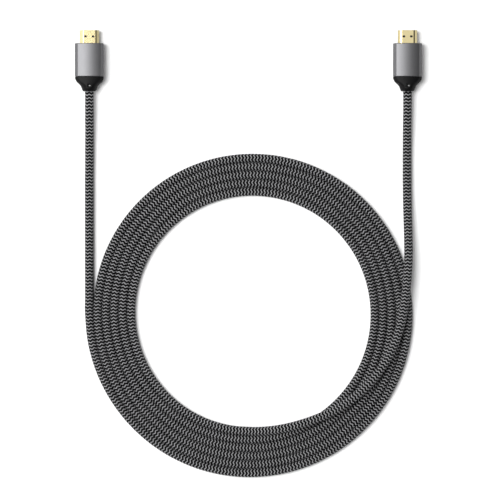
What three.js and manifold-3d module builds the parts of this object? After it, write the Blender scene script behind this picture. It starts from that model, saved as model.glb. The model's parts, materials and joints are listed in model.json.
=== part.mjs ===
// An HDMI cable lying on a table, with both plugs pointing the same way.
// The braided cable runs from plug A down to a flat coil, winds through it, comes back up over
// its turns and ends in plug B. Each plug is a gilt steel shell with its black insulator and
// nineteen contacts, a black moulding with a tapered strain relief, and an aluminium sleeve.
//
// Millimetres. X is across both plugs, +Y is the way they point and +Z is up from the table.
// The origin is on the table, under the middle of the whole object.

import * as THREE from 'three';
import { mergeVertices } from 'three/addons/utils/BufferGeometryUtils.js';
import Module from 'manifold-3d';

const wasm = await Module();
wasm.setup();

// Braided cable
const CABLE_D = 6.2;
const CABLE_SIDES = 12;
const CABLE_LIFT = 0.1;          // keeps the tubes just clear of the table
const LEAD_STEP = 9;             // length of one tube segment
const END_GAP = 0.3;             // between the cable's cut end and the moulding

// Coil: turns lying side by side, seen as one ring
const COIL_TURNS = 5;
const COIL_INNER_R = 82;
const COIL_X = 3.0;
const COIL_Y = -40.35;
const COIL_SEGMENTS = 60;
const TURN_TOP_STEPS = 3;
const TURN_FOOT_STEPS = 2;
const INNER_FOOT_FROM = 225;     // degrees round the innermost turn's section
const GROOVE_ANGLE = 25;         // degrees: where one turn's round meets the next turn's
const OUTER_TURN_GAP = 0.4;      // between the ring and the last turn, which lead A draws
const OUTER_TURN_FROM = 180;     // degrees round the coil: lead A arrives at its left
const OUTER_TURN_TO = 280;       // and hugs the ring to just past its lowest point
const OUTER_TURN_STEP = 10;

// Where the two plugs lie
const PLUG_X = 113.4;
const EXIT_Y = 116.4;            // the cable leaves the strain relief here

// Aluminium sleeve, crowned above and below
const SLEEVE_W = 20.5;
const SLEEVE_T = 11.4;
const SLEEVE_L = 23.8;
const SLEEVE_WALL = 1.1;
const SLEEVE_CORNER = 2.3;
const SLEEVE_BEVEL = 0.35;
const CROWN_R = 37;
const CROWN_STEPS = 7;
const CORNER_STEPS = 4;

// Black moulding: a core inside the sleeve and the strain relief behind it
const CORE_RECESS = 0.5;
const CORE_CLEARANCE = 0.3;
const RELIEF_L = 10.0;
const RELIEF_GAP = 0.3;
const RELIEF_HALF_T = 5.45;
const RELIEF_CORNER = 2.1;
const ROUNDNESS = 0.98;          // the collar's corner radius, as a share of its half height
const DIMPLE_R = 1.3;
const DIMPLE_DEPTH = 0.6;
const DIMPLE_FROM_SLEEVE = 6.2;
const DIMPLE_SIDES = 20;

// Half width of the strain relief, by the distance behind its front
const RELIEF_OUTLINE = [
  [0, 10.2], [1.1, 10.1], [1.8, 9.8], [2.6, 9.45], [3.3, 9.0], [4.0, 8.35], [4.7, 7.6],
  [5.4, 6.9], [6.1, 6.3], [6.9, 5.9], [7.9, 5.5], [9.0, 5.15], [RELIEF_L, 4.75],
];

// Sheet-metal shell of the plug
const SHELL_W = 13.9;
const SHELL_T = 4.45;
const SHELL_WALL = 0.32;
const SHELL_OUT = 9.35;          // what shows in front of the sleeve
const SHELL_SEAT = 4.5;          // what sits inside the moulding
const SHELL_CLEARANCE = 0.25;
const SHELL_CORNER = 0.7;
const SLOPE_X = 2.1;             // the narrow side's slanted corners, across
const SLOPE_Z = 1.8;             // and down
const LATCH_W = 1.9;
const LATCH_L = 1.5;
const LATCH_CORNER = 0.6;
const LATCH_SPACING = 5.3;
const LATCH_FROM_TIP = 4.5;
const LATCH_STEPS = 2;

// Insulator with its tongue slot
const INSULATOR_RECESS = 0.7;
const INSULATOR_CLEARANCE = 0.08;
const SLOT_W = 11.3;
const SLOT_T = 1.7;
const SLOT_Z = -0.28;            // its middle, below the plug's axis
const SLOT_DEPTH = 6.5;

// Contacts: odd numbers on the slot's floor, even ones on its roof
const CONTACT_COUNT = 19;
const CONTACT_PITCH = 0.5;
const CONTACT_W = 0.42;
const CONTACT_T = 0.16;
const CONTACT_BOW = 0.34;        // height of the sprung nose
const CONTACT_NOSE = 1.3;        // from the contact's front end to the top of its bow
const CONTACT_BACK = 3.2;        // from its front end to where the bow ends
const CONTACT_RECESS = 0.8;      // from the insulator's face to the contact's front end
const CONTACT_STEPS = 4;

// Sizes that follow
const cableR = CABLE_D / 2;
const layZ = cableR + CABLE_LIFT;
const coilOuterR = COIL_INNER_R + COIL_TURNS * CABLE_D;
const overCoilZ = CABLE_D + OUTER_TURN_GAP + cableR;
const plugZ = SLEEVE_T / 2;
const sleeveRear = RELIEF_L + RELIEF_GAP;
const sleeveFront = sleeveRear + SLEEVE_L;
const coreFront = sleeveFront - CORE_RECESS;
const shellTip = sleeveFront + SHELL_OUT;
const shellRear = sleeveFront - SHELL_SEAT;
const insulatorFront = shellTip - INSULATOR_RECESS;
const slotEnd = insulatorFront - SLOT_DEPTH;
const contactFront = insulatorFront - CONTACT_RECESS;

// Lead A: out of its plug, down to the table and straight down to the coil's left side
const leadA = [
  [-PLUG_X, EXIT_Y - END_GAP, plugZ],
  [-PLUG_X, 107, plugZ],
  [-113.4, 97, 5.3],
  [-113.4, 87, 4.4],
  [-113.5, 77, 3.6],
  [-113.5, 67, layZ],
  [-113.6, 56, layZ],
  [-113.6, 45, layZ],
  [-113.6, 34, layZ],
  [-113.6, 23, layZ],
  [-113.6, 12, layZ],
  [-113.5, 1, layZ],
  [-113.5, -10, layZ],
  [-113.4, -21, layZ],
  [-113.4, -31, layZ],
];

// Lead B: out of its plug, down to the table, up onto the coil in a long low hump and
// slantwise across the turns until it lies over the innermost one
const leadB = [
  [PLUG_X, EXIT_Y - END_GAP, plugZ],
  [PLUG_X, 107, plugZ],
  [113.3, 97, 5.3],
  [113.2, 87, 4.4],
  [113.2, 77, 3.6],
  [113.2, 66, layZ],
  [113.2, 55, 3.3],
  [113.3, 43, 3.7],
  [113.5, 31, 4.6],
  [113.8, 19, 6.0],
  [114.0, 7, 7.7],
  [113.9, -5, 9.1],
  [113.2, -16, overCoilZ],
  [112.0, -28, overCoilZ],
  [110.4, -40, overCoilZ],
  [107.8, -52, overCoilZ],
  [104.1, -63, overCoilZ],
  [99.3, -73.5, overCoilZ],
  [93.2, -83, overCoilZ],
  [85.8, -92, overCoilZ],
  [77.6, -99.8, overCoilZ],
  [68.7, -106.6, overCoilZ],
  [59.0, -112.4, overCoilZ],
];

// Shape helpers
const TO_RADIANS = Math.PI / 180;
const X_AXIS = new THREE.Vector3(1, 0, 0);
const Y_AXIS = new THREE.Vector3(0, 1, 0);
const Z_AXIS = new THREE.Vector3(0, 0, 1);

// A section drawn across the plug (x, up) becomes a bar from y = 0 back to y = -length.
function alongPlug(section, length, options = {}) {
  const bar = new THREE.ExtrudeGeometry(section, {
    depth: length, bevelEnabled: false, curveSegments: 3, ...options,
  });
  const turn = new THREE.Matrix4().makeBasis(X_AXIS, Z_AXIS, Y_AXIS.clone().negate());
  return bar.applyMatrix4(turn);
}

// A side view drawn in (y, up) becomes a strip as wide as given, centred on x = 0.
function acrossPlug(sideView, width) {
  const strip = new THREE.ExtrudeGeometry(sideView, {
    depth: width, bevelEnabled: false, curveSegments: CONTACT_STEPS,
  });
  strip.translate(0, 0, -width / 2);
  return strip.applyMatrix4(new THREE.Matrix4().makeBasis(Y_AXIS, Z_AXIS, X_AXIS));
}

// Points round a section whose top and bottom are shallow arcs that run into round corners.
function crownedSection(halfWidth, halfHeight, corner, crownR) {
  const cornerX = halfWidth - corner;
  const crownZ = halfHeight - crownR;
  const cornerZ = crownZ + Math.sqrt((crownR - corner) ** 2 - cornerX ** 2);
  const lean = Math.asin(cornerX / (crownR - corner));
  const upright = Math.PI / 2;
  const upperHalf = [];
  const addArc = (x, z, radius, from, to, steps) => {
    for (let i = 0; i < steps; i += 1) {
      const angle = THREE.MathUtils.lerp(from, to, i / steps);
      upperHalf.push(new THREE.Vector2(x + radius * Math.cos(angle), z + radius * Math.sin(angle)));
    }
  };
  addArc(cornerX, cornerZ, corner, 0, upright - lean, CORNER_STEPS);
  addArc(0, crownZ, crownR, upright - lean, upright + lean, CROWN_STEPS);
  addArc(-cornerX, cornerZ, corner, upright + lean, Math.PI, CORNER_STEPS);
  upperHalf.push(new THREE.Vector2(-halfWidth, cornerZ));
  return [...upperHalf, ...upperHalf.map((point) => point.clone().negate())];
}

// A closed skin through rings of points, which run from the front of the plug to its back.
function skinThrough(rings) {
  const sides = rings[0].length;
  const last = (rings.length - 1) * sides;
  const indices = [];
  for (let start = 0; start < last; start += sides) {
    for (let side = 0; side < sides; side += 1) {
      const here = start + side;
      const next = start + (side + 1) % sides;
      indices.push(here, next, next + sides, here, next + sides, here + sides);
    }
  }
  for (let side = 1; side < sides - 1; side += 1) {
    indices.push(0, side + 1, side, last, last + side, last + side + 1);
  }
  const skin = new THREE.BufferGeometry().setFromPoints(rings.flat());
  skin.setIndex(indices);
  return skin;
}

function roundedRectangle(halfWidth, halfHeight, corner) {
  const shape = new THREE.Shape();
  const x = halfWidth - corner;
  const y = halfHeight - corner;
  shape.absarc(x, y, corner, 0, Math.PI / 2);
  shape.absarc(-x, y, corner, Math.PI / 2, Math.PI);
  shape.absarc(-x, -y, corner, Math.PI, Math.PI * 1.5);
  shape.absarc(x, -y, corner, Math.PI * 1.5, Math.PI * 2);
  return shape;
}

// A polygon whose corners are rounded off over the same distance along each side.
function roundedPolygon(corners, reach) {
  const shape = new THREE.Shape();
  corners.forEach((corner, i) => {
    const before = corners[(i + corners.length - 1) % corners.length];
    const after = corners[(i + 1) % corners.length];
    const start = corner.clone().add(before.clone().sub(corner).setLength(reach));
    const end = corner.clone().add(after.clone().sub(corner).setLength(reach));
    if (i === 0) shape.moveTo(start.x, start.y);
    else shape.lineTo(start.x, start.y);
    shape.quadraticCurveTo(corner.x, corner.y, end.x, end.y);
  });
  return shape;
}

// The plug's outline, wide side down, moved inwards by the given inset.
function plugOutline(inset) {
  const slope = Math.hypot(SLOPE_X, SLOPE_Z);
  const side = SHELL_W / 2 - inset;
  const low = -SHELL_T / 2 + inset;
  const high = SHELL_T / 2 - inset;
  const shoulderZ = SHELL_T / 2 - SLOPE_Z - inset * (slope - SLOPE_Z) / SLOPE_X;
  const flatX = SHELL_W / 2 - SLOPE_X - inset * (slope - SLOPE_X) / SLOPE_Z;
  const right = [[side, low], [side, shoulderZ], [flatX, high]];
  const left = right.map(([x, z]) => [-x, z]).reverse();
  const corners = [...right, ...left].map(([x, z]) => new THREE.Vector2(x, z));
  return roundedPolygon(corners, Math.max(SHELL_CORNER - inset, SHELL_CORNER / 4));
}

function toSolid(geometry) {
  const bare = geometry.clone();
  bare.deleteAttribute('normal');
  bare.deleteAttribute('uv');
  const merged = mergeVertices(bare, 1e-5);
  return new wasm.Manifold(new wasm.Mesh({
    numProp: 3,
    vertProperties: new Float32Array(merged.attributes.position.array),
    triVerts: new Uint32Array(merged.index.array),
  }));
}

function toGeometry(solid) {
  const mesh = solid.getMesh();
  const geometry = new THREE.BufferGeometry();
  geometry.setAttribute('position', new THREE.BufferAttribute(mesh.vertProperties, 3));
  geometry.setIndex(new THREE.BufferAttribute(mesh.triVerts, 1));
  geometry.computeVertexNormals();
  return geometry;
}

function cutAway(geometry, cutters) {
  return toGeometry(cutters.reduce((solid, cutter) => solid.subtract(toSolid(cutter)),
    toSolid(geometry)));
}

// Finishes, one function each, because every mesh has a material of its own
const braid = () => new THREE.MeshStandardMaterial({ color: 0x4b4c50, roughness: 0.75 });
const blackMoulding = () => new THREE.MeshStandardMaterial({ color: 0x1d1d1f, roughness: 0.5 });
const satinAluminium = () => new THREE.MeshStandardMaterial({
  color: 0xa6a7ab, roughness: 0.35, metalness: 0.9,
});
const paleGilt = () => new THREE.MeshStandardMaterial({
  color: 0xe9d9a0, roughness: 0.25, metalness: 1,
});
const contactGilt = () => new THREE.MeshStandardMaterial({
  color: 0xe0bf6a, roughness: 0.3, metalness: 1,
});

function piece(name, geometry, material) {
  const mesh = new THREE.Mesh(geometry, material);
  mesh.name = name;
  return mesh;
}

// Cable
function cableTube(points) {
  const route = new THREE.CatmullRomCurve3(points.map((p) => new THREE.Vector3(...p)));
  const section = new THREE.Shape();
  for (let side = 0; side < CABLE_SIDES; side += 1) {
    const angle = side / CABLE_SIDES * Math.PI * 2;
    const x = cableR * Math.cos(angle);
    const y = cableR * Math.sin(angle);
    if (side === 0) section.moveTo(x, y);
    else section.lineTo(x, y);
  }
  return new THREE.ExtrudeGeometry(section, {
    extrudePath: route, steps: Math.round(route.getLength() / LEAD_STEP), bevelEnabled: false,
  });
}

// The last stretch of lead A is the coil's outermost turn, from its left side to its bottom.
function outermostTurn() {
  const points = [];
  const radius = coilOuterR + OUTER_TURN_GAP + cableR;
  for (let angle = OUTER_TURN_FROM; angle <= OUTER_TURN_TO; angle += OUTER_TURN_STEP) {
    points.push([
      COIL_X + radius * Math.cos(angle * TO_RADIANS),
      COIL_Y + radius * Math.sin(angle * TO_RADIANS),
      layZ,
    ]);
  }
  return points;
}

// The coil's ring: its profile goes up the outside, in over the turns' backs, down the inside
// and out again under them. Neighbouring turns run together in a groove.
function coilRing() {
  const profile = [];
  const addRound = (turn, from, to, steps) => {
    const middle = COIL_INNER_R + (turn + 0.5) * CABLE_D;
    for (let i = 0; i <= steps; i += 1) {
      const angle = THREE.MathUtils.lerp(from, to, i / steps) * TO_RADIANS;
      profile.push(new THREE.Vector2(
        middle + cableR * Math.cos(angle),
        cableR + cableR * Math.sin(angle),
      ));
    }
  };
  const last = COIL_TURNS - 1;
  for (let turn = last; turn >= 0; turn -= 1) {
    const from = turn === last ? 0 : GROOVE_ANGLE;
    addRound(turn, from, turn === 0 ? 180 : 180 - GROOVE_ANGLE, TURN_TOP_STEPS);
  }
  for (let turn = 0; turn <= last; turn += 1) {
    const from = turn === 0 ? INNER_FOOT_FROM : 180 + GROOVE_ANGLE;
    addRound(turn, from, turn === last ? 360 : 360 - GROOVE_ANGLE, TURN_FOOT_STEPS);
  }
  const ring = new THREE.LatheGeometry(profile, COIL_SEGMENTS);
  return ring.applyMatrix4(new THREE.Matrix4().makeBasis(X_AXIS, Z_AXIS, Y_AXIS.clone().negate()));
}

function buildCable() {
  const cable = new THREE.Group();
  cable.add(piece('cable_lead_a', cableTube([...leadA, ...outermostTurn()]), braid()));
  cable.add(piece('cable_lead_b', cableTube(leadB), braid()));
  const ring = piece('cable_coil', coilRing(), braid());
  ring.position.set(COIL_X, COIL_Y, 0);
  cable.add(ring);
  return cable;
}

// Plug. Its own frame: the cable leaves at y = 0, the tip is at +y, and z = 0 is its axis.
function sleeveSection(inset) {
  return crownedSection(SLEEVE_W / 2 - inset, SLEEVE_T / 2 - inset, SLEEVE_CORNER - inset,
    CROWN_R - inset);
}

function aluminiumSleeve() {
  const outline = new THREE.Shape(sleeveSection(0));
  outline.holes.push(new THREE.Path(sleeveSection(SLEEVE_WALL)));
  const sleeve = alongPlug(outline, SLEEVE_L - 2 * SLEEVE_BEVEL, {
    bevelEnabled: true,
    bevelSegments: 1,
    bevelThickness: SLEEVE_BEVEL,
    bevelSize: SLEEVE_BEVEL,
    bevelOffset: -SLEEVE_BEVEL,
  });
  return sleeve.translate(0, sleeveFront - SLEEVE_BEVEL, 0);
}

// The strain relief starts nearly as large as the sleeve and crowned like it, draws in over an
// S-shaped shoulder and ends as a round collar.
function strainRelief() {
  const shoulderHalfW = RELIEF_OUTLINE[0][1];
  return skinThrough(RELIEF_OUTLINE.map(([behind, halfWidth]) => {
    const halfHeight = Math.min(halfWidth, RELIEF_HALF_T);
    const drawnIn = THREE.MathUtils.clamp(
      (shoulderHalfW - halfWidth) / (shoulderHalfW - RELIEF_HALF_T), 0, 1,
    );
    const corner = THREE.MathUtils.lerp(RELIEF_CORNER, ROUNDNESS * halfHeight, drawnIn);
    const crownR = THREE.MathUtils.lerp(CROWN_R, 2 * halfHeight, drawnIn);
    return crownedSection(halfWidth, halfHeight, corner, crownR)
      .map((point) => new THREE.Vector3(point.x, RELIEF_L - behind, point.y));
  }));
}

function mouldingCore() {
  const section = new THREE.Shape(sleeveSection(SLEEVE_WALL + CORE_CLEARANCE));
  const overlap = RELIEF_GAP + 1;
  return alongPlug(section, coreFront - sleeveRear + overlap).translate(0, coreFront, 0);
}

function mouldedBody() {
  const pocketDepth = coreFront - shellRear + SHELL_CLEARANCE;
  const pocket = alongPlug(plugOutline(-SHELL_CLEARANCE), pocketDepth + 1)
    .translate(0, coreFront + 1, 0);
  const dimple = new THREE.CylinderGeometry(DIMPLE_R, DIMPLE_R, RELIEF_HALF_T, DIMPLE_SIDES)
    .rotateX(Math.PI / 2)
    .translate(0, RELIEF_L - DIMPLE_FROM_SLEEVE, RELIEF_HALF_T * 1.5 - DIMPLE_DEPTH);
  const whole = toSolid(mouldingCore()).add(toSolid(strainRelief()));
  return toGeometry(whole.subtract(toSolid(pocket)).subtract(toSolid(dimple)));
}

function plugShell() {
  const outline = plugOutline(0);
  outline.holes.push(plugOutline(SHELL_WALL));
  const tube = alongPlug(outline, SHELL_OUT + SHELL_SEAT).translate(0, shellTip, 0);
  const latchHoles = [-1, 1].map((side) => {
    const hole = new THREE.ExtrudeGeometry(
      roundedRectangle(LATCH_W / 2, LATCH_L / 2, LATCH_CORNER),
      { depth: 2 * SHELL_T, bevelEnabled: false, curveSegments: LATCH_STEPS },
    );
    return hole.translate(side * LATCH_SPACING / 2, shellTip - LATCH_FROM_TIP, -SHELL_T);
  });
  return cutAway(tube, latchHoles);
}

function plugInsulator() {
  const section = plugOutline(SHELL_WALL + INSULATOR_CLEARANCE);
  const block = alongPlug(section, insulatorFront - shellRear).translate(0, insulatorFront, 0);
  const slot = new THREE.BoxGeometry(SLOT_W, SLOT_DEPTH + 1, SLOT_T)
    .translate(0, slotEnd + (SLOT_DEPTH + 1) / 2, SLOT_Z);
  return cutAway(block, [slot]);
}

// A sprung contact, lying on z = 0 with its front end at y = 0 and its nose bowed upwards.
function contactStrip() {
  const length = contactFront - slotEnd;
  const sideView = new THREE.Shape();
  sideView.moveTo(-length, 0);
  sideView.lineTo(0, 0);
  sideView.lineTo(0, CONTACT_T);
  sideView.quadraticCurveTo(-CONTACT_NOSE, 2 * CONTACT_BOW, -CONTACT_BACK, CONTACT_T);
  sideView.lineTo(-length, CONTACT_T);
  return acrossPlug(sideView, CONTACT_W);
}

function buildContacts(plugName) {
  const contacts = new THREE.Group();
  for (let number = 1; number <= CONTACT_COUNT; number += 1) {
    const label = String(number).padStart(2, '0');
    const contact = piece(`${plugName}_contact_${label}`, contactStrip(), contactGilt());
    const onFloor = number % 2 === 1;
    const across = (number - (CONTACT_COUNT + 1) / 2) * CONTACT_PITCH;
    const height = SLOT_Z + (onFloor ? -SLOT_T / 2 : SLOT_T / 2);
    contact.position.set(across, contactFront, height);
    contact.rotation.y = onFloor ? 0 : Math.PI;
    contacts.add(contact);
  }
  return contacts;
}

function buildPlug(plugName, x) {
  const plug = new THREE.Group();
  plug.position.set(x, EXIT_Y, plugZ);
  plug.add(piece(`${plugName}_sleeve`, aluminiumSleeve(), satinAluminium()));
  plug.add(piece(`${plugName}_moulding`, mouldedBody(), blackMoulding()));
  plug.add(piece(`${plugName}_shell`, plugShell(), paleGilt()));
  plug.add(piece(`${plugName}_insulator`, plugInsulator(), blackMoulding()));
  plug.add(buildContacts(plugName));
  return plug;
}

const hdmiCable = new THREE.Group();
hdmiCable.add(buildCable());
hdmiCable.add(buildPlug('plug_a', -PLUG_X));
hdmiCable.add(buildPlug('plug_b', PLUG_X));

export default hdmiCable;
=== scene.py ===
# %% [markdown]
# # A braided HDMI cable in a flat coil
#
# The object is one cable, about 3.75 m long, with the same plug at both ends. It lies on a pale
# floor: down from the left plug, five turns and a quarter round a flat coil, back over the turns
# and up to the right plug. The exact solids of the plugs are already made and come in as the
# frame. This script gives them their looks and makes their sleeves and mouldings again with finer
# edges. It also makes the cable, whose solids are only plain stand-ins. Everything is in metres,
# with Z up and both plugs pointing along +Y.

# %% Load the frame
import json
import math

import bpy
import numpy as np
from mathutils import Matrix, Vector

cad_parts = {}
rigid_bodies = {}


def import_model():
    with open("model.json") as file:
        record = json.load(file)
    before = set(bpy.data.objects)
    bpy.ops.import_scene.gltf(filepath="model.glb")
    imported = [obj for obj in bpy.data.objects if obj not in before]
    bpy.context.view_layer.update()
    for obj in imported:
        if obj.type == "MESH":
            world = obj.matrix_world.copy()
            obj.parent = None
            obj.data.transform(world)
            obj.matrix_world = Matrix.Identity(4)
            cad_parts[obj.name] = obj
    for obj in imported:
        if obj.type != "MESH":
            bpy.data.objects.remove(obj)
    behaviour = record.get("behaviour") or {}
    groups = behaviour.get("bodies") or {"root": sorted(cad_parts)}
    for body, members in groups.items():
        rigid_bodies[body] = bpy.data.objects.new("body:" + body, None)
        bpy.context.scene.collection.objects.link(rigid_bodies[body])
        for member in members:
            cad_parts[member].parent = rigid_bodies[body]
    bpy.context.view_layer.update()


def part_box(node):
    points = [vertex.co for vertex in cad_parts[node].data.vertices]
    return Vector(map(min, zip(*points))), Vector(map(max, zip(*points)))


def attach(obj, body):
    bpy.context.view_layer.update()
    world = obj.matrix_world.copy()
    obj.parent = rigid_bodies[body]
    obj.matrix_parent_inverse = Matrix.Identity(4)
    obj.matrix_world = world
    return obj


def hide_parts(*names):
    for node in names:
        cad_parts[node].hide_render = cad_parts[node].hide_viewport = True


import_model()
MM = 0.001

# %% [markdown]
# ## What the frame tells
#
# The sizes of a plug aren't typed in again. They are read from the boxes of its solids, so that
# each dressed piece lands exactly where its solid is. Only what a box can't tell, such as a wall
# or a corner's radius, is a named value of its own.

# %% Read the plugs' sizes
PLUGS = ("plug_a", "plug_b")


class PlugSizes:
    """Where one plug's pieces lie, from the boxes of its solids."""

    def __init__(self, plug):
        sleeve_low, sleeve_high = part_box(f"{plug}_sleeve")
        moulding_low, moulding_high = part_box(f"{plug}_moulding")
        self.name = plug
        self.x = (sleeve_low.x + sleeve_high.x) / 2
        self.z = (sleeve_low.z + sleeve_high.z) / 2
        self.sleeve_rear, self.sleeve_front = sleeve_low.y, sleeve_high.y
        self.sleeve_half = ((sleeve_high.x - sleeve_low.x) / 2, (sleeve_high.z - sleeve_low.z) / 2)
        self.relief_end, self.core_front = moulding_low.y, moulding_high.y

    @property
    def exit(self):
        return (self.x, self.relief_end, self.z)


plugs = {plug: PlugSizes(plug) for plug in PLUGS}
PLUG_Z = plugs["plug_a"].z
for sizes in plugs.values():
    print(sizes.name, "axis at x", round(sizes.x, 4), "z", round(sizes.z, 4),
          "cable leaves at", [round(v, 4) for v in sizes.exit])

# %% [markdown]
# ## Camera
#
# The picture looks straight down, and both plugs look alike in it, so it was taken from far off
# with a long lens. One pixel of the 500 is 0.713 mm: the plug's shell is 13.9 mm wide and covers
# nineteen and a half of them. The camera stands over the middle of that frame.

# %% Make the camera
PIXEL = 0.713 * MM
FRAME_PIXELS = 500
FRAME_MIDDLE = (0.0011, 0.0032)
CAMERA_HEIGHT = 2.2
SENSOR_WIDTH = 36.0
FAR_CLIP = 20.0

camera_data = bpy.data.cameras.new("camera")
camera_data.sensor_width = SENSOR_WIDTH
camera_data.lens = SENSOR_WIDTH * (CAMERA_HEIGHT - PLUG_Z) / (FRAME_PIXELS * PIXEL)
camera_data.clip_end = FAR_CLIP
camera = bpy.data.objects.new("camera", camera_data)
camera.location = (*FRAME_MIDDLE, CAMERA_HEIGHT)
bpy.context.scene.collection.objects.link(camera)
bpy.context.scene.camera = camera
print("camera: lens", round(camera_data.lens, 1), "mm at", CAMERA_HEIGHT, "m")

# %% [markdown]
# ## Shader maths as plain Python
#
# A material's pattern is a formula on the surface's coordinates. Written as nodes it is hard to
# read, so one small class wraps a socket and turns each operator into a Math node. The other
# class holds a material and makes every other kind of node with one method.

# %% Wrap sockets so that operators add Math nodes


class Value:
    """A number that varies over the surface. Arithmetic on it adds Math nodes."""

    def __init__(self, finish, socket):
        self.finish, self.socket = finish, socket

    def math(self, operation, *numbers):
        return self.finish.node("Math", {"operation": operation}, dict(enumerate(numbers)))

    def __add__(self, other):
        return self.math("ADD", self, other)

    def __sub__(self, other):
        return self.math("SUBTRACT", self, other)

    def __rsub__(self, other):
        return self.math("SUBTRACT", other, self)

    def __mul__(self, other):
        return self.math("MULTIPLY", self, other)

    def __truediv__(self, other):
        return self.math("DIVIDE", self, other)

    def __pow__(self, other):
        return self.math("POWER", self, other)

    def __abs__(self):
        return self.math("ABSOLUTE", self)

    __radd__, __rmul__ = __add__, __mul__

    def fraction(self):
        return self.math("FRACT", self)

    def zigzag(self):
        """A triangle wave from 0 to 1 and back, once for each unit."""
        return self.math("PINGPONG", self, 0.5) * 2

    def sine(self):
        """A sine wave, once for each unit."""
        return self.math("SINE", self * (2 * math.pi))

    def clamped(self):
        return self.finish.node("Clamp", {}, {0: self})


class Finish:
    """A material's or the world's nodes, and the one method that adds a node to them."""

    def __init__(self, name, world=False):
        self.owner = (bpy.data.worlds if world else bpy.data.materials).new(name)
        self.owner.use_nodes = True
        self.tree = self.owner.node_tree
        self.tree.nodes.clear()

    def node(self, kind, settings, sockets, output=0):
        """Adds a node, sets its settings and then its sockets, and returns one output."""
        made = self.tree.nodes.new("ShaderNode" + kind)
        for name, value in settings.items():
            if name == "stops":
                self.set_stops(made.color_ramp, value)
            else:
                setattr(made, name, value)
        for name, value in sockets.items():
            if isinstance(value, Value):
                self.tree.links.new(value.socket, made.inputs[name])
            else:
                made.inputs[name].default_value = value
        return Value(self, made.outputs[output]) if made.outputs else None

    @staticmethod
    def set_stops(ramp, stops):
        """Gives a colour ramp its stops, each a place and a grey or a colour."""
        while len(ramp.elements) < len(stops):
            ramp.elements.new(1.0)
        for element, (place, shade) in zip(ramp.elements, stops):
            element.position = place
            element.color = (*shade, 1) if isinstance(shade, tuple) else (shade, shade, shade, 1)

    def places(self):
        """Where each point lies in the row's frame, in metres."""
        return self.node("TexCoord", {}, {}, "Object")

    def noise(self, scale, detail=2.0, stretch=(1, 1, 1)):
        """Soft random patches. scale is how many there are in a metre."""
        stretched = self.node("Mapping", {}, {"Vector": self.places(), "Scale": stretch})
        return self.node("TexNoise", {}, {"Vector": stretched, "Scale": scale, "Detail": detail})

    def mix(self, share, first, second, blend="MIX"):
        """Two colours, mixed or blended by a share."""
        settings = {"data_type": "RGBA", "blend_type": blend}
        return self.node("Mix", settings, {0: share, 6: first, 7: second}, 2)

    def bump(self, height, distance, strength=1.0):
        sockets = {"Height": height, "Distance": distance, "Strength": strength}
        return self.node("Bump", {}, sockets)

    def surface(self, **sockets):
        """The Principled shader, with its sockets named with spaces left out."""
        named = {name.replace("_", " "): value for name, value in sockets.items()}
        shader = self.node("BsdfPrincipled", {}, named)
        self.node("OutputMaterial", {}, {"Surface": shader})
        print("finish:", self.owner.name, "with", len(self.tree.nodes), "nodes")
        return self.owner


# %% [markdown]
# ## The cable's route
#
# A cable keeps its length, so its route comes before its shape. Away from the coil it is a list
# of given points. Those of the leads lie within 0.2 mm of the solids' own: straight out
# of the strain relief, down to the floor over about eight diameters, and then along it. The right
# lead climbs onto the coil in a long low hump and slants over the turns. The coil is a loop: a
# spiral whose radius shrinks each turn by a little less than one diameter. Neighbouring turns
# overlap slightly, in place of a soft braid that gives way.

# %% Choose the route's points
CABLE_D = 6.2 * MM
ON_FLOOR = CABLE_D / 2
LEAD_Z = 0.0032
OVER_COIL = 0.0095

lead_a = [
    (-0.1134, 0.1161, PLUG_Z), (-0.1134, 0.107, PLUG_Z), (-0.1134, 0.097, 0.0053),
    (-0.1134, 0.087, 0.0044), (-0.1135, 0.077, 0.0036), (-0.1135, 0.067, LEAD_Z),
    (-0.1136, 0.056, LEAD_Z), (-0.1136, 0.045, LEAD_Z), (-0.1136, 0.034, LEAD_Z),
    (-0.1136, 0.023, LEAD_Z), (-0.1136, 0.012, LEAD_Z), (-0.1136, 0.001, LEAD_Z),
    (-0.1136, -0.010, LEAD_Z), (-0.1136, -0.021, LEAD_Z), (-0.1136, -0.031, LEAD_Z),
]
lead_b = [
    (0.1134, 0.1161, PLUG_Z), (0.1134, 0.107, PLUG_Z), (0.1133, 0.097, 0.0053),
    (0.1132, 0.087, 0.0044), (0.1132, 0.077, 0.0036), (0.1132, 0.066, LEAD_Z),
    (0.1132, 0.055, 0.0033), (0.1133, 0.043, 0.0037), (0.1135, 0.031, 0.0046),
    (0.1138, 0.019, 0.0060), (0.1140, 0.007, 0.0077), (0.1139, -0.005, 0.0091),
    (0.1132, -0.016, OVER_COIL), (0.1120, -0.028, OVER_COIL), (0.1104, -0.040, OVER_COIL),
    (0.1078, -0.052, OVER_COIL), (0.1041, -0.063, OVER_COIL), (0.0993, -0.0735, OVER_COIL),
    (0.0932, -0.083, OVER_COIL), (0.0858, -0.092, OVER_COIL), (0.0776, -0.0998, OVER_COIL),
    (0.0687, -0.1066, OVER_COIL), (0.0590, -0.1124, OVER_COIL),
]
# Off the innermost turn and down beside it, where the solids stop
way_down = [
    (0.0501, -0.1162, 0.0095), (0.0414, -0.1194, 0.0094), (0.0310, -0.1225, 0.0087),
    (0.0206, -0.1247, 0.0074), (0.0104, -0.1259, 0.0057),
]

# %% Wind the coil
COIL_CENTRE = (0.0017, -0.04205)
OUTER_TURN_R = 0.1153
TURN_PITCH = 5.95 * MM
ARRIVES_AT = 180
LEAVES_AT = 90
WHOLE_TURNS = 5
DEGREES_A_POINT = 10
SETTLES_WITHIN = 20
LAST_DROP = 1.3 * MM
OUTERMOST = ARRIVES_AT + 360 * WHOLE_TURNS


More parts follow.
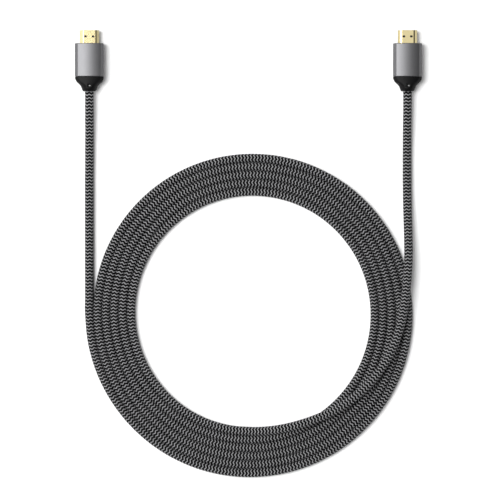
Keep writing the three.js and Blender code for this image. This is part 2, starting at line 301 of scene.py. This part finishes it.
def coil_point(degrees):
    """A point of the spiral. The angle runs clockwise as seen from above, from +X, and grows
    outwards from the innermost turn."""
    radius = OUTER_TURN_R - TURN_PITCH * (OUTERMOST - degrees) / 360
    unsettled = max(0.0, 1 - (degrees - LEAVES_AT) / SETTLES_WITHIN)
    angle = math.radians(degrees)
    return (
        COIL_CENTRE[0] + radius * math.cos(angle),
        COIL_CENTRE[1] - radius * math.sin(angle),
        ON_FLOOR + LAST_DROP * unsettled ** 2,
    )


coil = [coil_point(degrees) for degrees in range(OUTERMOST, LEAVES_AT - 1, -DEGREES_A_POINT)]
route = lead_a + coil + way_down[::-1] + lead_b[::-1]
print("route:", len(route), "points,", len(coil), "of them in the coil")

# %% [markdown]
# The tube needs many more rings than the route has points. A Catmull-Rom curve goes through every
# point, and its samples are then spread evenly along it, so that the braid's pattern keeps its
# size everywhere.

# %% Smooth the route and space it evenly
RING_SPACING = 1.25 * MM
SAMPLES_A_POINT = 24


def smooth_line(points, spacing):
    """Evenly spaced points along a curve through the given ones."""
    p = np.array([points[0], *points, points[-1]])
    t = np.linspace(0, 1, SAMPLES_A_POINT, endpoint=False)[:, None]
    runs = [
        0.5 * (2 * b + (c - a) * t + (2 * a - 5 * b + 4 * c - d) * t ** 2
               + (3 * b - a - 3 * c + d) * t ** 3)
        for a, b, c, d in zip(p, p[1:], p[2:], p[3:])
    ]
    fine = np.vstack([*runs, p[-1:]])
    along = np.concatenate([[0], np.cumsum(np.linalg.norm(np.diff(fine, axis=0), axis=1))])
    wanted = np.linspace(0, along[-1], round(along[-1] / spacing) + 1)
    return np.stack([np.interp(wanted, along, fine[:, i]) for i in range(3)], axis=1), along[-1]


line, cable_length = smooth_line(route, RING_SPACING)
print("cable:", round(cable_length, 3), "m long,", len(line), "rings")

# %% [markdown]
# ## The cable as a tube
#
# A round tube round that line, closed at both ends, which are hidden in the strain reliefs. Each
# face corner gets a coordinate: how far round the cable it is, and how many metres along. The
# braid's pattern is drawn in those two, so it follows every bend without stretching.

# %% Build meshes from rings


def new_piece(name, vertices, faces, smooth=True):
    """A mesh object in the scene, in the row's frame."""
    mesh = bpy.data.meshes.new(name)
    mesh.from_pydata([tuple(v) for v in vertices], [], faces)
    mesh.validate()
    mesh.polygons.foreach_set("use_smooth", [smooth] * len(mesh.polygons))
    piece = bpy.data.objects.new(name, mesh)
    bpy.context.scene.collection.objects.link(piece)
    return piece


def ring_faces(rings, sides, closed=False):
    """The four-sided faces between rings of points. closed joins the last ring to the first."""
    faces = []
    for ring in range(rings if closed else rings - 1):
        here, there = ring * sides, (ring + 1) % rings * sides
        for side in range(sides):
            after = (side + 1) % sides
            faces.append((here + side, here + after, there + after, there + side))
    return faces


def end_caps(rings, sides):
    """The two many-sided faces that close the first ring and the last one."""
    last = (rings - 1) * sides
    return [tuple(range(sides))[::-1], tuple(range(last, last + sides))]


# %% Sweep the tube
CABLE_SIDES = 24


def sweep(points, radius, sides):
    """Rings of points round a line, each square to it and turned as little as possible."""
    directions = np.gradient(points, axis=0)
    directions /= np.linalg.norm(directions, axis=1)[:, None]
    up = np.array((0.0, 0.0, 1.0))
    across = np.cross(directions, up)
    across /= np.linalg.norm(across, axis=1)[:, None]
    upward = np.cross(across, directions)
    angles = np.arange(sides) * 2 * math.pi / sides
    return (
        points[:, None]
        + radius * np.cos(angles)[None, :, None] * upward[:, None]
        + radius * np.sin(angles)[None, :, None] * across[:, None]
    )


rings = sweep(line, CABLE_D / 2, CABLE_SIDES)
faces = ring_faces(len(rings), CABLE_SIDES) + end_caps(len(rings), CABLE_SIDES)
cable = new_piece("braided_cable", rings.reshape(-1, 3), faces)

# %% Draw the braid's coordinates on it
braid_map = cable.data.uv_layers.new(name="braid")
corner_vertices = np.empty(len(cable.data.loops), int)
cable.data.loops.foreach_get("vertex_index", corner_vertices)
corner_ring, corner_side = np.divmod(corner_vertices, CABLE_SIDES)
side_faces = (len(rings) - 1) * CABLE_SIDES
face_corner = np.arange(side_faces * 4).reshape(-1, 4)
around = corner_side.astype(float) / CABLE_SIDES
wraps = around[face_corner].max(axis=1) - around[face_corner].min(axis=1) > 0.5
for corners in face_corner[wraps]:
    around[corners[around[corners] == 0]] = 1.0
along = corner_ring * cable_length / (len(rings) - 1)
braid_map.data.foreach_set("uv", np.stack([around, along], axis=1).astype(np.float32).ravel())
print("braided_cable:", len(cable.data.polygons), "faces")

# %% [markdown]
# ## The braid
#
# The sleeve is woven from bundles of black and of grey yarn. Where they cross they make zigzag
# rings round the cable: six waves round it, and a black and a grey ring every 2.35 mm. Each limb
# of the zigzag is a bundle that comes up from under its neighbours and dives again at the corner,
# so it is highest in its middle, and along it run the bundle's own fine fibres. The whole pattern
# is one phase: how many rings along, shifted by the zigzag.
# Where that relief is low, the colour is darkened too: painted shade in the grooves and at the
# corners.

# %% Finish for the braid
WAVES_ROUND = 6
RING_PAIR = 2.35 * MM
ZIGZAG_DEPTH = 0.42
WAVES_OF_TWIST = 1.3
FIRST_WAVE = 0.5
# How steep the step from black to grey is, and how much narrower it leaves the grey
COLOUR_EDGE = 3.5
BLACK_BIAS = 1.6
# Powers that flatten the top of a bundle across and along it
BACK_POWER = 2.5
DIVE_POWER = 4
FIBRES = 5
# Shares of the relief, which add up to 1
BACK_SHARE = 0.52
DIVE_SHARE = 0.28
FIBRE_SHARE = 0.20
BRAID_RELIEF = 0.3 * MM
# The darkest painted shade, where the relief is lowest, as a share of the yarn's own colour
DEEPEST_PAINTED_SHADE = 0.15
YARN_PATCHES = 900
PATCH_CONTRAST = 0.5
PATCH_DARKEST = 0.75
YARN_ROUGHNESS = 0.62
FIBRE_POLISH = 0.12
YARN_SPECULAR = 0.07
BLACK_YARN = (0.002, 0.002, 0.0023, 1)
GREY_YARN = (0.335, 0.335, 0.345, 1)


def braid_finish():
    finish = Finish("braided sleeve")
    spot = finish.node("UVMap", {"uv_map": "braid"}, {})
    round_it = finish.node("SeparateXYZ", {}, {0: spot}, 0)
    along_it = finish.node("SeparateXYZ", {}, {0: spot}, 1)
    wave = round_it * WAVES_ROUND + along_it * WAVES_OF_TWIST + FIRST_WAVE
    phase = along_it / RING_PAIR + wave.zigzag() * ZIGZAG_DEPTH
    grey = (phase.sine() * COLOUR_EDGE - BLACK_BIAS).clamped()
    across_bundle = abs((phase * 2).fraction() * 2 - 1)
    along_limb = abs((wave * 2).fraction() * 2 - 1)
    round_back = 1 - across_bundle ** BACK_POWER
    dive = 1 - along_limb ** DIVE_POWER
    fibre = (phase * (2 * FIBRES)).sine() * 0.5 + 0.5
    height = round_back * BACK_SHARE + dive * DIVE_SHARE + fibre * FIBRE_SHARE
    uneven = finish.noise(YARN_PATCHES, detail=1.0) * PATCH_CONTRAST + PATCH_DARKEST
    # Painted shade: the yarn's colour is darkened where the relief is low, between bundles, at the
    # limbs' corners and between fibres. The random patches are the yarn's own uneven tone.
    shade = (height * (1 - DEEPEST_PAINTED_SHADE) + DEEPEST_PAINTED_SHADE) * uneven
    yarn = finish.mix(grey, BLACK_YARN, GREY_YARN)
    painted_shade_and_patch_colour = finish.node("CombineColor", {}, {0: shade, 1: shade, 2: shade})
    colour = finish.mix(1.0, yarn, painted_shade_and_patch_colour, "MULTIPLY")
    return finish.surface(
        Base_Color=colour, Roughness=YARN_ROUGHNESS - fibre * FIBRE_POLISH,
        Normal=finish.bump(height, BRAID_RELIEF), Specular_IOR_Level=YARN_SPECULAR,
    )


cable.data.materials.append(braid_finish())
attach(cable, "root")
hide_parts("cable_lead_a", "cable_lead_b", "cable_coil")

# %% [markdown]
# ## Sections of the plugs
#
# The sleeve and the moulding of each plug are made as a caster would draw them: a row of
# cross-sections along the cable's axis, joined by faces. The shine on the sleeve runs evenly from
# one side to the other, which a flat top wouldn't give, so its top and bottom are shallow arcs,
# with a flat facet along each corner. The strain relief starts with facets too. They turn round as
# it narrows, and it ends as a round collar.

# %% Make cross-sections
CORNER_STEPS = 12
CROWN_STEPS = 33
FACET_LIFT = 0.25


def arc(x, z, radius, start, end, steps):
    """Points on an arc, without its end."""
    angles = np.linspace(start, end, steps, endpoint=False)
    return np.stack([x + radius * np.cos(angles), z + radius * np.sin(angles)], 1)


def corner_points(x, z, radius, start, end, facet):
    """A corner's points, without its end. facet is 0 for a round one and 1 for a flat one,
    which meets the upright side a little higher up."""
    first, last = arc(x, z, radius, start, 2 * end - start, 2)
    upright_end = first if abs(math.cos(start)) > abs(math.cos(end)) else last
    upright_end[1] += FACET_LIFT * radius
    share = np.linspace(0, 1, CORNER_STEPS, endpoint=False)[:, None]
    bent = arc(x, z, radius, start, end, CORNER_STEPS)
    return bent * (1 - facet) + (first + (last - first) * share) * facet


def crowned_section(half_width, half_height, corner, crown_radius, facet,
                    crown_steps=CROWN_STEPS):
    """Points round a section with crowned top and bottom, as pairs of x and z. They run
    clockwise as seen from the plug's front."""
    corner_x = half_width - corner
    crown_z = half_height - crown_radius
    corner_z = crown_z + math.sqrt((crown_radius - corner) ** 2 - corner_x ** 2)
    lean = math.asin(corner_x / (crown_radius - corner))
    upright = math.pi / 2
    upper = np.concatenate([
        corner_points(corner_x, corner_z, corner, 0, upright - lean, facet),
        arc(0, crown_z, crown_radius, upright - lean, upright + lean, crown_steps),
        corner_points(-corner_x, corner_z, corner, upright + lean, math.pi, facet),
        [(-half_width, corner_z + FACET_LIFT * corner * facet)],
    ])
    return np.concatenate([upper, -upper])[::-1]


def loft(sections, sizes):
    """Rings in space from sections and their distances along the plug, a list of pairs."""
    rings = []
    for y, section in sections:
        ring = np.empty((len(section), 3))
        ring[:, 0], ring[:, 1], ring[:, 2] = sizes.x + section[:, 0], y, sizes.z + section[:, 1]
        rings.append(ring)
    return np.array(rings)


def sharpen(piece, degrees):
    """Leaves edges sharper than an angle out of the smooth shading."""
    piece.data.set_sharp_from_angle(angle=math.radians(degrees))
    return piece


# %% [markdown]
# ## The sleeve
#
# A piece of drawn aluminium profile, cut to length, with both ends broken by a narrow bevel and
# blasted to a fine satin. The mesh goes along the outside and back along the inside, so that it
# is one closed wall.

# %% Build the sleeves
SLEEVE_WALL = 1.1 * MM
SLEEVE_CORNER = 2.7 * MM
CROWN_RADIUS = 37 * MM
SLEEVE_BEVEL = 0.35 * MM
FACET_ROUND = 0.16 * MM
FACET_SEGMENTS = 3
FACET_ROUND_FROM = 28
# How far each ring is from the sleeve's end and how far in it is, in widths of the bevel
BEVEL_PROFILE = [(0.0, 1.0), (1.0, 0.0), (3.0, 0.0)]


def sleeve_section(sizes, inset):
    half_width, half_height = sizes.sleeve_half
    return crowned_section(half_width - inset, half_height - inset, SLEEVE_CORNER - inset,
                           CROWN_RADIUS - inset, 1.0)


def sleeve_rings(sizes):
    """The wall's sections: out along the outside and back along the inside."""
    rear, front = sizes.sleeve_rear, sizes.sleeve_front
    bevel = [(along * SLEEVE_BEVEL, sleeve_section(sizes, inwards * SLEEVE_BEVEL))
             for along, inwards in BEVEL_PROFILE]
    outside = [(rear + along, section) for along, section in bevel]
    outside += [(front - along, section) for along, section in bevel[::-1]]
    bore = sleeve_section(sizes, SLEEVE_WALL)
    return loft([*outside, (front, bore), (rear, bore)], sizes)


def build_sleeve(sizes):
    rings = sleeve_rings(sizes)
    faces = ring_faces(len(rings), rings.shape[1], closed=True)
    piece = new_piece(f"{sizes.name}_satin_sleeve", rings.reshape(-1, 3), faces)
    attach(piece, "root")
    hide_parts(f"{sizes.name}_sleeve")
    facets = piece.modifiers.new("soft facets", "BEVEL")
    facets.width, facets.segments, facets.limit_method = FACET_ROUND, FACET_SEGMENTS, "ANGLE"
    facets.angle_limit = math.radians(FACET_ROUND_FROM)
    facets.harden_normals = True
    return piece


sleeves = {plug: build_sleeve(sizes) for plug, sizes in plugs.items()}
print("sleeve:", len(sleeves["plug_a"].data.polygons), "faces")

# %% [markdown]
# ## The moulding
#
# Black soft plastic, moulded round the end of the cable. Its core fills the sleeve and carries
# the metal shell. Behind the sleeve it tapers in an S-curve down to a collar round the cable, and
# on top it has one small round dimple with a polished floor, the mark of a pin in the mould.

# %% Describe the moulding's taper
RELIEF_GAP = 0.3 * MM
RELIEF_HALF_T = 5.45 * MM
RELIEF_CORNER = 2.65 * MM
ROUNDNESS = 0.98
RELIEF_STEPS = 84
DIMPLE_CROWN_STEPS = 61
# Distance behind the relief's front and half the width seen from above, in millimetres
RELIEF_OUTLINE = [
    (0, 10.2), (1.1, 10.1), (1.8, 9.8), (2.6, 9.45), (3.3, 9.0), (4.0, 8.35), (4.7, 7.6),
    (5.4, 6.9), (6.1, 6.3), (6.9, 5.9), (7.9, 5.5), (9.0, 5.15), (10.0, 4.75),
]
RELIEF_LENGTH = RELIEF_OUTLINE[-1][0] * MM


def smooth_through(pairs, at):
    """The height of a smooth curve through the pairs, at a place between them."""
    x, y = np.array(pairs, float).T
    steps = np.diff(y) / np.diff(x)
    slopes = np.concatenate([[steps[0]], (steps[1:] + steps[:-1]) / 2, [steps[-1]]])
    i = np.clip(np.searchsorted(x, at, side="right") - 1, 0, len(x) - 2)
    width = x[i + 1] - x[i]
    t = (at - x[i]) / width
    return ((1 + 2 * t) * (1 - t) ** 2 * y[i] + t * (1 - t) ** 2 * width * slopes[i]
            + t * t * (3 - 2 * t) * y[i + 1] + t * t * (t - 1) * width * slopes[i + 1])


def relief_section(behind, inset=0.0):
    """The strain relief's section at a distance behind its front."""
    half_width = smooth_through(RELIEF_OUTLINE, behind / MM) * MM
    half_height = min(half_width, RELIEF_HALF_T)
    shoulder = RELIEF_OUTLINE[0][1] * MM
    drawn_in = min(1.0, max(0.0, (shoulder - half_width) / (shoulder - RELIEF_HALF_T)))
    corner = RELIEF_CORNER + drawn_in * (ROUNDNESS * half_height - RELIEF_CORNER)
    crown = CROWN_RADIUS + drawn_in * (2 * half_height - CROWN_RADIUS)
    return crowned_section(half_width - inset, half_height - inset, corner - inset,
                           crown - inset, 1 - drawn_in, DIMPLE_CROWN_STEPS)


# %% Build the mouldings
DIMPLE_R = 1.3 * MM
DIMPLE_RIM = 0.3 * MM
DIMPLE_DEPTH = 0.45 * MM
BOWL_DEPTH = 0.35 * MM
DIMPLE_BEHIND = 6.2 * MM
CORE_CLEARANCE = 0.3 * MM
END_ROUND = 0.5 * MM
END_ROUND_STEPS = 5
SHARP_FROM = 40


def press_dimple(rings, sizes):
    """Lowers the top by a round dimple with a steep rim and a bowl-shaped floor."""
    centre = np.array([sizes.x, sizes.sleeve_rear - RELIEF_GAP - DIMPLE_BEHIND])
    from_centre = np.linalg.norm(rings[:, :, :2] - centre, axis=2)
    wall = np.clip((DIMPLE_R + DIMPLE_RIM - from_centre) / DIMPLE_RIM, 0, 1)
    bowl = np.clip(1 - (from_centre / DIMPLE_R) ** 2, 0, 1)
    depth = DIMPLE_DEPTH * wall * wall * (3 - 2 * wall) + BOWL_DEPTH * bowl
    rings[:, :, 2] -= depth * (rings[:, :, 2] > sizes.z)
    return rings


def moulding_rings(sizes):
    """Sections from the collar to the core's front."""
    front_of_relief = sizes.sleeve_rear - RELIEF_GAP
    sections = [
        (front_of_relief - RELIEF_LENGTH + END_ROUND * (1 - math.cos(angle)),
         relief_section(RELIEF_LENGTH, END_ROUND * (1 - math.sin(angle))))
        for angle in np.linspace(0, math.pi / 2, END_ROUND_STEPS)
    ]
    for behind in np.linspace(RELIEF_LENGTH - END_ROUND, 0, RELIEF_STEPS)[1:]:
        sections.append((front_of_relief - behind, relief_section(behind)))
    half_width, half_height = sizes.sleeve_half
    inset = SLEEVE_WALL + CORE_CLEARANCE
    core = crowned_section(half_width - inset, half_height - inset, SLEEVE_CORNER - inset,
                           CROWN_RADIUS - inset, 1.0, DIMPLE_CROWN_STEPS)
    sections += [(front_of_relief, core), (sizes.core_front, core)]
    return press_dimple(loft(sections, sizes), sizes)


def build_moulding(sizes):
    rings = moulding_rings(sizes)
    sides = rings.shape[1]
    faces = ring_faces(len(rings), sides) + end_caps(len(rings), sides)
    piece = new_piece(f"{sizes.name}_strain_relief", rings.reshape(-1, 3), faces)
    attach(piece, "root")
    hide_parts(f"{sizes.name}_moulding")
    return sharpen(piece, SHARP_FROM)


mouldings = {plug: build_moulding(sizes) for plug, sizes in plugs.items()}
print("moulding:", len(mouldings["plug_a"].data.polygons), "faces")

# %% [markdown]
# ## Shell, insulator and contacts
#
# The solids of these pieces already have their true shape, with the holes for the socket's
# springs, the slot and the bowed contacts, so they stay. Punched and moulded parts have no
# razor edges, and a sharp edge never catches the light, so modifiers round their edges a little.

# %% Round the solids' edges
SHEET_ROUND = 0.07 * MM
EDGE_BREAK = 0.05 * MM
EDGE_SEGMENTS = 2
EDGE_ROUND_FROM = 40
WELD_WITHIN = 0.001 * MM
CONTACT_COUNT = 19


def soften_edges(node, width):
    """Joins the corners of neighbouring faces and rounds the edges between flat ones."""
    node.data.polygons.foreach_set("use_smooth", [False] * len(node.data.polygons))
    node.modifiers.new("weld", "WELD").merge_threshold = WELD_WITHIN
    rounded = node.modifiers.new("soft edges", "BEVEL")
    rounded.width, rounded.segments, rounded.limit_method = width, EDGE_SEGMENTS, "ANGLE"
    rounded.angle_limit = math.radians(EDGE_ROUND_FROM)


shells = {plug: bpy.data.objects[f"{plug}_shell"] for plug in PLUGS}
blocks = {plug: bpy.data.objects[f"{plug}_insulator"] for plug in PLUGS}
contacts = {plug: [bpy.data.objects[f"{plug}_contact_{number:02d}"]
                   for number in range(1, CONTACT_COUNT + 1)] for plug in PLUGS}
for plug in PLUGS:
    soften_edges(shells[plug], SHEET_ROUND)
    for node in [blocks[plug], *contacts[plug]]:
        soften_edges(node, EDGE_BREAK)
    print(plug, "edges rounded on the shell, the insulator and", len(contacts[plug]), "contacts")

# %% [markdown]
# ## Finishes of the plugs
#
# Blasted and anodised aluminium has no lines, only a very fine grain that spreads its highlights,
# so it gets fine noise in its bump and roughness. The shell is rolled sheet with thin pale gilt
# on it, smoother, with faint lines along the rolling direction. The moulding is black and dull,
# with the texture that a sparked mould leaves.

# %% Finishes for metal and plastic
# Colours
SATIN_DARK = (0.105, 0.105, 0.109, 1)
SATIN_LIGHT = (0.118, 0.118, 0.122, 1)
GILT_PALE = (0.385, 0.335, 0.190, 1)
GILT_DEEP = (0.365, 0.312, 0.172, 1)
CONTACT_PALE = (0.93, 0.72, 0.34, 1)
CONTACT_DEEP = (0.90, 0.66, 0.28, 1)
RUBBER_DARK = (0.0015, 0.0015, 0.0017, 1)
RUBBER_LIGHT = (0.0025, 0.0025, 0.0028, 1)
BLOCK_DARK = (0.004, 0.004, 0.0045, 1)
BLOCK_LIGHT = (0.006, 0.006, 0.0065, 1)
# Roughness of each, and how much its clouds, grain or lines add
SATIN_ROUGHNESS = 0.37
SATIN_CLOUD_ADDS = 0.06
SATIN_GRAIN_ADDS = 0.08
GILT_ROUGHNESS = 0.06
CONTACT_ROUGHNESS = 0.18
GILT_LINES_ADD = 0.08
PLASTIC_ROUGHNESS = 0.38
PLASTIC_GRAIN_ADDS = 0.12
# Shine of the plastics, and the polished floor of the dimples
RUBBER_SPECULAR = 0.09
BLOCK_SPECULAR = 0.2
POLISH_ROUGHNESS = 0.12
POLISH_EDGE = 4
# Size of the moulds' grain
RUBBER_GRAIN = 0.25 * MM
BLOCK_GRAIN = 0.12 * MM
# How many grains, lines or clouds there are in a metre
BLAST_GRAINS = 9000
ROLLED_LINES = 5200
LINE_STRETCH = (1, 0.06, 1)
SATIN_CLOUDS = 260
GILT_CLOUDS = 420
PLASTIC_CLOUDS = 300
# How deep the grain is in the bump, and how strongly it shows
BLAST_DEPTH = 0.02 * MM
ROLLED_DEPTH = 0.002 * MM
MOULD_DEPTH = 0.03 * MM
METAL_BUMP = 0.5
MOULD_BUMP = 0.6


def aluminium_finish():
    finish = Finish("satin aluminium")
    grain = finish.noise(BLAST_GRAINS, detail=3.0)
    cloud = finish.noise(SATIN_CLOUDS, detail=3.0)
    return finish.surface(
        Base_Color=finish.mix(cloud, SATIN_DARK, SATIN_LIGHT), Metallic=1.0,
        Roughness=SATIN_ROUGHNESS + cloud * SATIN_CLOUD_ADDS + grain * SATIN_GRAIN_ADDS,
        Normal=finish.bump(grain, BLAST_DEPTH, METAL_BUMP),
    )


def gilt_finish(name, pale, deep, roughness):
    finish = Finish(name)
    rolled = finish.noise(ROLLED_LINES, stretch=LINE_STRETCH)
    cloud = finish.noise(GILT_CLOUDS)
    return finish.surface(
        Base_Color=finish.mix(cloud, pale, deep), Metallic=1.0,
        Roughness=roughness + rolled * GILT_LINES_ADD,
        Normal=finish.bump(rolled, ROLLED_DEPTH, METAL_BUMP),
    )


def plastic_finish(name, dark, light, grain_size, specular, polish=None):
    """Black plastic with a mould's grain. polish makes a mask of where it is glossy as well."""
    finish = Finish(name)
    grain = finish.noise(1 / grain_size)
    cloud = finish.noise(PLASTIC_CLOUDS)
    return finish.surface(
        Base_Color=finish.mix(cloud, dark, light),
        Roughness=PLASTIC_ROUGHNESS + grain * PLASTIC_GRAIN_ADDS,
        Normal=finish.bump(grain, MOULD_DEPTH, MOULD_BUMP), Specular_IOR_Level=specular,
        Coat_Weight=polish(finish) if polish else 0.0, Coat_Roughness=POLISH_ROUGHNESS,
    )


def dimple_mask(finish):
    """1 in the dimples of both mouldings, and 0 elsewhere."""
    sizes = plugs["plug_b"]
    across = abs(finish.node("SeparateXYZ", {}, {0: finish.places()}, 0)) - sizes.x
    along = finish.node("SeparateXYZ", {}, {0: finish.places()}, 1)
    along = along - (sizes.sleeve_rear - RELIEF_GAP - DIMPLE_BEHIND)
    reach = (across ** 2 + along ** 2) ** 0.5
    return (1 - (reach / DIMPLE_R - 1) * POLISH_EDGE).clamped()


satin = aluminium_finish()
gilt = gilt_finish("pale gilt", GILT_PALE, GILT_DEEP, GILT_ROUGHNESS)
contact_gilt = gilt_finish("contact gilt", CONTACT_PALE, CONTACT_DEEP, CONTACT_ROUGHNESS)
rubber = plastic_finish("black moulding", RUBBER_DARK, RUBBER_LIGHT, RUBBER_GRAIN,
                        RUBBER_SPECULAR, dimple_mask)
block = plastic_finish("black insulator", BLOCK_DARK, BLOCK_LIGHT, BLOCK_GRAIN, BLOCK_SPECULAR)

# %% Put them on


def dress(piece, finish):
    piece.data.materials.clear()
    piece.data.materials.append(finish)


for plug in PLUGS:
    dress(sleeves[plug], satin)
    dress(mouldings[plug], rubber)
    dress(shells[plug], gilt)
    dress(blocks[plug], block)
    for contact in contacts[plug]:
        dress(contact, contact_gilt)
    print(plug, "dressed, with", len(contacts[plug]), "contacts")

# %% [markdown]

# %% [markdown]
# ## Floor and light
#
# The floor is white paper. The light is one large soft box, a little left of straight above: its
# near edge is almost overhead and its far edge 40 degrees to the left. So the shadows are soft,
# short, and only on the right. Metal shows what it reflects: the sleeves are bright where they
# face the box and darker where they face away, their facets show the bright walls, of which the
# left one is the brightest, and the flat gilt shells show the small bright ceiling straight above.

# %% Lay the floor
FLOOR_REACH = 4.0
PAPER_DARK = (0.91, 0.91, 0.91, 1)
PAPER_LIGHT = (0.93, 0.93, 0.93, 1)
PAPER_PATCHES = 40
PAPER_ROUGHNESS = 0.9
PAPER_SPECULAR = 0.1
floor = new_piece("floor", [(x * FLOOR_REACH, y * FLOOR_REACH, 0.0)
                            for x, y in ((-1, -1), (1, -1), (1, 1), (-1, 1))],
                  [(0, 1, 2, 3)], smooth=False)
paper = Finish("white paper")
floor.data.materials.append(paper.surface(
    Base_Color=paper.mix(paper.noise(PAPER_PATCHES), PAPER_DARK, PAPER_LIGHT),
    Roughness=PAPER_ROUGHNESS, Specular_IOR_Level=PAPER_SPECULAR))

# %% Set up the light
KEY_DISTANCE = 3.0
KEY_LEAN = 23
KEY_UP = 0.375
KEY_SIZE = (1.72, 1.50)
KEY_POWER = 106.0
DIM_SKY = 0.10
CEILING = 2.4
CEILING_FALL = 60
WALLS = 2.4
LEFT_WALL = 2.4
WALLS_FALL = 3

key_data = bpy.data.lights.new("soft box", "AREA")
key_data.shape, (key_data.size, key_data.size_y) = "RECTANGLE", KEY_SIZE
key_data.energy = KEY_POWER
key = bpy.data.objects.new("soft box", key_data)
lean = math.radians(KEY_LEAN)
key.location = (-KEY_DISTANCE * math.sin(lean), KEY_UP, KEY_DISTANCE * math.cos(lean))
key.rotation_euler = (0.0, -lean, 0.0)
bpy.context.scene.collection.objects.link(key)

sky = Finish("studio", world=True)
direction = sky.node("TexCoord", {}, {}, "Generated")
rightward = sky.node("SeparateXYZ", {}, {0: direction}, 0)
upward = sky.node("SeparateXYZ", {}, {0: direction}, 2)
walls = (rightward * -1).clamped() ** 2 * LEFT_WALL + WALLS
ceiling = upward.clamped() ** CEILING_FALL * CEILING
brightness = (1 - upward.clamped()) ** WALLS_FALL * walls + ceiling + DIM_SKY
background = sky.node("Background", {}, {"Color": (1, 1, 1, 1), "Strength": brightness})
sky.node("OutputWorld", {}, {"Surface": background})
bpy.context.scene.world = sky.owner
bpy.context.scene.view_settings.view_transform = "Standard"
print("light: a soft box", KEY_DISTANCE, "m away, leaning", KEY_LEAN, "degrees")
